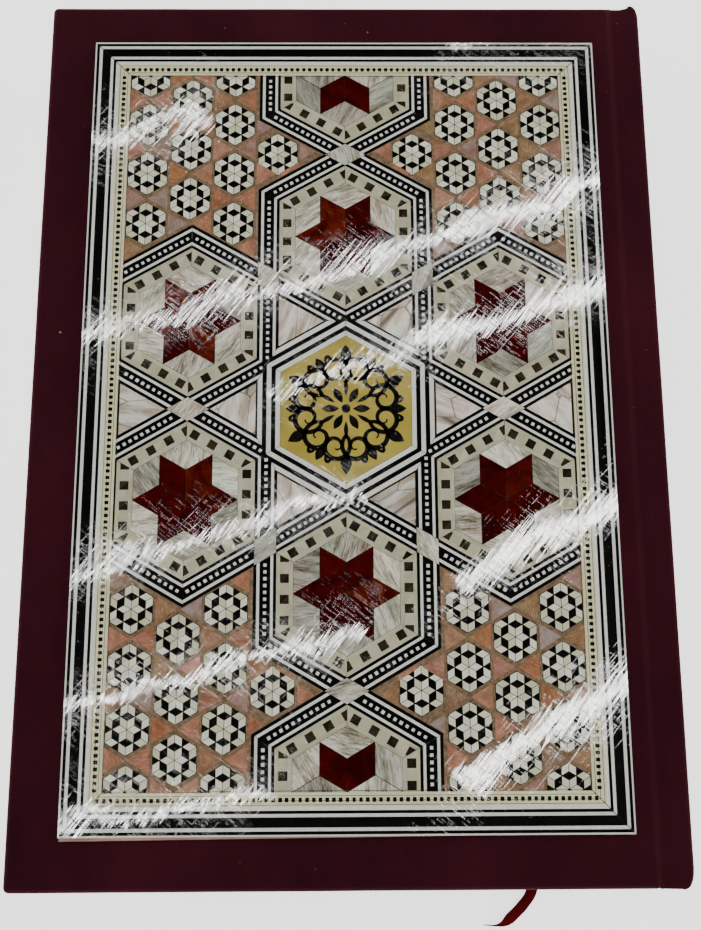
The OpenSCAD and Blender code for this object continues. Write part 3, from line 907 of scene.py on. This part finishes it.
def outside_hexagons(outline, apothem):
    """Cuts an outline back from every star hexagon that it runs into."""
    for centre in HEXAGONS:
        if not outline:
            return outline
        middle = middle_of(outline)
        if math.dist(middle, centre) > 45:
            continue
        dx, dy = middle[0] - centre[0], middle[1] - centre[1]
        nx, ny = max((polar(1, a) for a in range(0, 360, 60)), key=lambda n: n[0] * dx + n[1] * dy)
        outline = clip(outline, -nx, -ny, -(nx * centre[0] + ny * centre[1] + apothem))
    return outline


def add_shell_triangles(material):
    """Shell tiles between the rosettes: the triangles of a small kagome lattice."""
    cut = []
    for i in range(-1, 6):
        for k in range(-8, 9):
            x, y = ROSETTE_X + i * ROSETTE_COL, ROSETTE_Y + (k + i % 2 / 2) * ROSETTE_ROW
            for way in (1, -1):
                # corners are the midpoints between three neighbouring rosettes
                trio = ((x, y), (x, y + ROSETTE_ROW), (x + way * ROSETTE_COL, y + ROSETTE_ROW / 2))
                tri = [middle_of((trio[n], trio[(n + 1) % 3])) for n in range(3)]
                tri = shrink(tri if way == 1 else tri[::-1], 0.20)
                tri = clip(clip(tri, 0, -1, -0.75 * PITCH), -1, 0, 0)
                tri = outside_hexagons(inside_field(tri, 0.3), BAND_OUT + 0.35)
                if big_enough(tri, 0.25):
                    cut.append(tri)
    four = [[(x * sx, y * sy) for x, y in (o if sx * sy > 0 else reversed(o))]
            for o in cut for sx in (1, -1) for sy in (1, -1)]
    inlay("shell_triangles", four, 0.6, PROUD, material, "pink_shell")


def square_outline(centre, size, degrees, tall=1.0):
    """A square, or an oblong that is taller along its own Y."""
    c, s = math.cos(math.radians(degrees)), math.sin(math.radians(degrees))
    corners = [(x * size / 2, y * size / 2 * tall) for x, y in ((1, 1), (-1, 1), (-1, -1), (1, -1))]
    return [(centre[0] + x * c - y * s, centre[1] + x * s + y * c) for x, y in corners]


def add_band_dots(material):
    """Small white squares along the middle strip of every star hexagon."""
    size, pitch, apothem = 0.92, 1.86, 22.5
    row_half, crossing_room = 12.4, 4.4  # how far a row runs, and how near a crossing it may come
    dots = []
    random.seed(5)
    for centre in STARS + HALF_STARS:
        for a in range(0, 360, 60):
            shift = random.uniform(-0.5, 0.5)
            for k in range(-6, 7):
                middle = polar(apothem, a, centre)
                spot = polar(k * pitch + shift, a + 90, middle)
                if abs(k * pitch + shift) > row_half:
                    continue
                if any(math.dist(spot, c) < crossing_room for c, _ in CROSSINGS):
                    continue
                if abs(spot[0]) < FIELD_X - 0.6 and abs(spot[1]) < FIELD_Y - 0.6:
                    dots.append(square_outline(spot, size * random.uniform(0.9, 1.05),
                                               a + random.uniform(-4, 4)))
    inlay("banding_white_dots", dots, 0.2, PROUD, material, "white_inlay")


def add_frame_squares(material):
    """Black squares of the micro mosaic in the frame's narrow strip."""
    high = span("frame_dot_strip")[1]
    strip, pitch = 1.15, 1.78
    x1, y1 = high.x - PANEL_X - strip / 2, high.y - strip / 2
    random.seed(3)
    outlines = []
    for half, other, turn in ((x1, y1, 90), (y1, x1, 0)):
        count = round(2 * half / pitch)
        step = 2 * half / count
        for sign in (-1, 1):
            for k in range(0 if turn else 1, count if turn else count - 1):
                along = -half + (k + 0.5) * step + random.uniform(-0.06, 0.06)
                spot = (along, sign * other) if turn else (sign * other, along)
                outlines.append(square_outline(spot, strip, turn + random.uniform(-3, 3),
                                               random.uniform(0.78, 0.92)))
    inlay("frame_black_squares", outlines, 0.2, PROUD, material, "ebony")


def add_frame_seams(material):
    """Thin dark glue lines between the frame's pale strips, and along its mitres."""
    half_x, half_y = PANEL_HALF, TILE_HIGH.y
    outlines = []
    for inset, width in ((7.42, 0.14), (8.50, 0.13), (9.72, 0.13), (10.95, 0.16)):
        x, y, w = half_x - inset, half_y - inset, width / 2
        for sign in (-1, 1):
            outlines.append(bar(-x, sign * y - w, x, sign * y + w))
            outlines.append(bar(sign * x - w, -y, sign * x + w, y))
    for sx in (-1, 1):
        for sy in (-1, 1):
            ends = [(sx * (half_x - inset), sy * (half_y - inset)) for inset in (0.1, FRAME_W)]
            outlines += stroke(ends, [0.2, 0.2])
    inlay("frame_seams", outlines, 0.15, PROUD / 2, material, "panel_wood")


def stroke(points, widths):
    """A drawn line whose width changes, cut into convex pieces end to end."""
    sides = []
    for i, p in enumerate(points):
        a, b = points[max(i - 1, 0)], points[min(i + 1, len(points) - 1)]
        length = math.hypot(b[0] - a[0], b[1] - a[1]) or 1e-9
        nx, ny = -(b[1] - a[1]) / length, (b[0] - a[0]) / length
        w = widths[i] / 2
        sides.append(((p[0] - nx * w, p[1] - ny * w), (p[0] + nx * w, p[1] + ny * w)))
    return [[a[0], b[0], b[1], a[1]] for a, b in zip(sides, sides[1:])]


def leaf(start, end, half_angle, degrees, steps=10):
    """A pointed leaf along a radius, swelling to a width given as an angle."""
    shares = [i / steps for i in range(steps + 1)]
    radii = [start + (end - start) * t for t in shares]
    bulge = [half_angle * math.sin(math.pi * t ** 0.8) for t in shares]
    right = [polar(r, degrees - b) for r, b in zip(radii, bulge)]
    left = [polar(r, degrees + b) for r, b in zip(radii, bulge)]
    return [[right[i], right[i + 1], left[i + 1], left[i]] for i in range(steps)]


def scroll(axis, side):
    """A tendril that leaves the axis at its inner end and coils up beside it."""
    eye = polar(11.4, axis + side * 15.5)
    path, widths = [], []
    for t in (i / 46 for i in range(47)):
        coil = 3.9 * (1 - t) ** 0.75 + 0.55
        path.append(polar(coil, axis + side * (218 + 500 * t), eye))
        widths.append(0.45 + 1.0 * math.sin(math.pi * min(1.0, 0.15 + t)) ** 0.7)
    return stroke(path, widths)


def add_medallion_ornament(material):
    """A six-fold arabesque of mirrored tendrils, leaves and petals, drawn in black."""
    outlines = []
    for k in range(6):
        a = 60 * k
        outlines += leaf(1.9, 6.9, 15, a)
        outlines += leaf(3.6, 8.8, 6, a + 30)
        outlines += leaf(13.2, 19.0, 6.0, a + 30)
        outlines += leaf(12.6, 17.2, 5.2, a)
        for side in (1, -1):
            outlines += scroll(a + 30, side)
            outlines += stroke([polar(14.6 + 1.6 * math.sin(math.pi * t), a + side * (6 + 9 * t))
                                for t in (i / 8 for i in range(9))],
                               [0.3 + 0.8 * math.sin(math.pi * i / 8) for i in range(9)])
    outlines.append([polar(1.3, 15 * i) for i in range(24)])
    drawn = [o for o in outlines if big_enough(o, 0.002)]
    inlay("medallion_ornament", drawn, 0.05, PROUD, material, "ebony")


def add_filler(material):
    """Glue between the tiles, a little below their faces."""
    high = span("frame_white_lines")[1]
    x, y = high.x - PANEL_X - 0.15, high.y - 0.15
    inlay("seam_filler", [bar(-x, -y, x, y)], TILE_TOP - TILE_LOW.z, -0.10, material, "panel_wood")


def paint_node(node, material):
    """Gives a CAD node its finished material."""
    data = NODES[node].data
    data.materials.clear()
    data.materials.append(material)


# ---------- studio ----------

def add_floor():
    reach = 12000
    verts = [(x, y, -0.02) for x, y in bar(-reach, -reach, reach, reach)]
    floor = new_object("floor", verts, [[0, 1, 2, 3]], floor_material())


def add_lamp(name, place, turn, size, power):
    """A rectangular lamp, with its place and size in metres."""
    data = bpy.data.lights.new(name, "AREA")
    data.shape = "RECTANGLE"
    data.size, data.size_y = size
    data.energy = power
    lamp = bpy.data.objects.new(name, data)
    lamp.location = place
    lamp.rotation_euler = turn
    bpy.context.scene.collection.objects.link(lamp)


# Lines of the panel, in mm about its middle, where the lacquer mirrors a lamp, and their widths
GLARES = [
    ((-84, 18), (-22, 37), 4), ((-22, 37), (30, 50), 4.5), ((30, 52), (84, 72), 8),
    ((-22, 4), (18, 17), 2.5), ((18, 18), (84, 40), 7),
    ((-84, -48), (6, -22), 3.5), ((30, -50), (84, -22), 9),
    ((-84, -84), (4, -62), 4), ((30, -102), (84, -72), 10),
    ((-84, 78), (-44, 90), 5), ((-84, -112), (-20, -104), 3), ((30, 116), (84, 122), 2.5)]
TUBE_RISE = 1200  # height of the ceiling tubes above the panel
TUBE_WIDTH = 0.55  # their width, as a share of the streak's
TUBE_POWER = 118  # watts per square metre


def mirror_tube(name, start, end, width):
    """A ceiling tube that a flat lacquer face would mirror along a line of the panel."""
    eye_rise = EYE.z - TILE_TOP
    spread = (eye_rise + TUBE_RISE) / eye_rise
    a, b = (Vector((EYE.x + (x + PANEL_X - EYE.x) * spread, EYE.y + (y - EYE.y) * spread,
                    TILE_TOP + TUBE_RISE)) for x, y in (start, end))
    size = ((b - a).length * MM, width * TUBE_WIDTH * spread * MM)
    turn = (0, 0, math.atan2(b.y - a.y, b.x - a.x))
    add_lamp(name, (a + b) / 2 * MM, turn, size, TUBE_POWER * size[0] * size[1])


def add_lights():
    """Soft light from low around, with ceiling tubes that the lacquer mirrors as slanted streaks."""
    for name, place, size, power in (("key", (-1.5, 0.6, 1.3), (1.0, 1.0), 8.5),
                                     ("fill", (1.5, 0.3, 1.2), (1.0, 1.0), 7),
                                     ("front", (0.1, -1.8, 1.2), (1.4, 0.8), 5)):
        add_lamp(name, place, (-Vector(place)).to_track_quat("-Z", "Y").to_euler(), size, power)
    for i, (start, end, width) in enumerate(GLARES):
        mirror_tube(f"tube_{i}", start, end, width)


def add_surroundings():
    """A room that is pale low down and dark overhead, so the lacquer stays clear."""
    world = bpy.data.worlds.new("studio")
    bpy.context.scene.world = world
    world.use_nodes = True
    tree = world.node_tree
    coords = tree.nodes.new("ShaderNodeTexCoord")
    split = tree.nodes.new("ShaderNodeSeparateXYZ")
    ramp = tree.nodes.new("ShaderNodeValToRGB")
    tree.links.new(coords.outputs["Generated"], split.inputs["Vector"])
    tree.links.new(split.outputs["Z"], ramp.inputs["Fac"])
    tree.links.new(ramp.outputs["Color"], tree.nodes["Background"].inputs["Color"])
    ramp.color_ramp.elements.new(0.34)
    for stop, (height, grey) in zip(ramp.color_ramp.elements, ((0.08, 1.0), (0.34, 0.33), (0.62, 0.015))):
        stop.position = height
        stop.color = (grey, grey, 0.98 * grey, 1)


# ---------- the whole book ----------

add_camera()
add_ribbon(ribbon_material())

velvet = velvet_material()
board = plain_material("greyboard", (0.22, 0.17, 0.11), (0.42, 0.34, 0.24), 0.9,
                       {"scale": 900, "detail": 4}, relief=0.0001)
panel_wood = plain_material("panel_backing_wood", (0.30, 0.15, 0.10), (0.62, 0.38, 0.30), 0.6,
                            {"detail": 4, "roughness": 0.6}, (60, 1400, 400), relief=0.0001)
cream_paper = paper_material("cream_paper", (0.86, 0.80, 0.65), (0.80, 0.73, 0.57))
page_edges = paper_material("page_edges", (0.86, 0.79, 0.63), (0.78, 0.70, 0.53), leaves=True)
lining = lining_material()
headband = headband_material()
ebony = inlay_material("ebony_strips", (0.0015, 0.0015, 0.0017), (0.006, 0.006, 0.0055), (80, 80, 80))
white = inlay_material("white_strips", (0.76, 0.76, 0.67), (0.95, 0.945, 0.86), (900, 900, 900))
bone = inlay_material("bone_strips", (0.46, 0.435, 0.28), (0.68, 0.65, 0.46), (260, 260, 260))
frame_cream = inlay_material("frame_bone_strips", (0.70, 0.68, 0.40), (0.92, 0.895, 0.58), (40, 400, 40))
cream_tiles = inlay_material("rosette_cream", (0.68, 0.67, 0.46), (0.95, 0.94, 0.75), (500, 500, 500), 0.6)
horn = inlay_material("dark_horn", (0.012, 0.009, 0.005), (0.045, 0.036, 0.020), (2200, 2200, 2200), 0.4)
glue = plain_material("seam_glue", (0.014, 0.008, 0.004), (0.050, 0.032, 0.018), 0.5, {"scale": 300},
                      lacquered=True)
shell_ground = plain_material("shell_ground", (0.13, 0.080, 0.040), (0.32, 0.220, 0.135), 0.4,
                              {"scale": 900, "detail": 4, "roughness": 0.7}, edge=0.32, lacquered=True)
red = red_material()
pearl = pearl_material("mother_of_pearl", (330, 2400), (0.16, 0.13, 0.085), (0.46, 0.42, 0.33),
                       (0.88, 0.86, 0.76))
pale_pearl = pearl_material("pale_pearl", (100, 420), (0.46, 0.38, 0.30), (0.66, 0.58, 0.49),
                            (0.90, 0.87, 0.80), 0.25, cracked=True)
gold = gold_material()
INK_GRAIN = {"scale": 800, "detail": 2}
black_ink = plain_material("black_paint", (0.004, 0.003, 0.002), (0.0104, 0.0088, 0.0072), 0.5, INK_GRAIN,
                           lacquered=True)
page_gold = plain_material("page_gold", (0.30, 0.19, 0.05), (0.484, 0.308, 0.084), 0.5, INK_GRAIN,
                           Specular_IOR_Level=0.08)
page_ink = plain_material("page_ink", (0.02, 0.05, 0.10), (0.036, 0.084, 0.164), 0.5, INK_GRAIN,
                          Specular_IOR_Level=0.08)

add_case(velvet, board)
add_pages("lower_pages", LOWER_LOW.z, LOWER_HIGH.z, 21, "root", page_edges, "lower_sections")
add_pages("upper_pages_stack", UPPER_LOW.z, UPPER_HIGH.z, 22, "upper_pages", page_edges, "upper_sections")
add_headbands("lower_headband_rolls", "root", headband, "lower_headbands")
add_headbands("upper_headband_rolls", "upper_pages", headband, "upper_headbands")
add_page_frames(page_gold, page_ink)

add_filler(glue)
add_star_tiles(red, pearl)
add_crossing_tiles(pearl)
add_rosettes(cream_tiles, ebony, glue)
add_shell_triangles(pink_shell_material())
add_band_dots(white)
add_frame_squares(black_ink)
add_frame_seams(glue)
add_medallion_ornament(black_ink)

FINISHES = {
    "back_board": board, "front_board": board,
    "back_pastedown": cream_paper, "front_pastedown": cream_paper,
    "front_flyleaf": cream_paper, "back_flyleaf": cream_paper,
    "lower_lining": lining, "upper_lining": lining,
    "ribbon_inner": bpy.data.materials["red_satin_ribbon"],
    "panel_base": panel_wood,
    "frame_white_lines": white, "banding_white": white, "medallion_white": white,
    "frame_ebony": ebony, "banding_black": ebony, "medallion_black": ebony,
    "frame_bone": frame_cream, "frame_dot_strip": frame_cream, "bone_bands": bone,
    "band_squares": horn,
    "pearl_triangles": pale_pearl, "medallion_plate": gold, "shell_ground": shell_ground,
}
for node_name, finish in FINISHES.items():
    paint_node(node_name, finish)

add_floor()
add_lights()
add_surroundings()
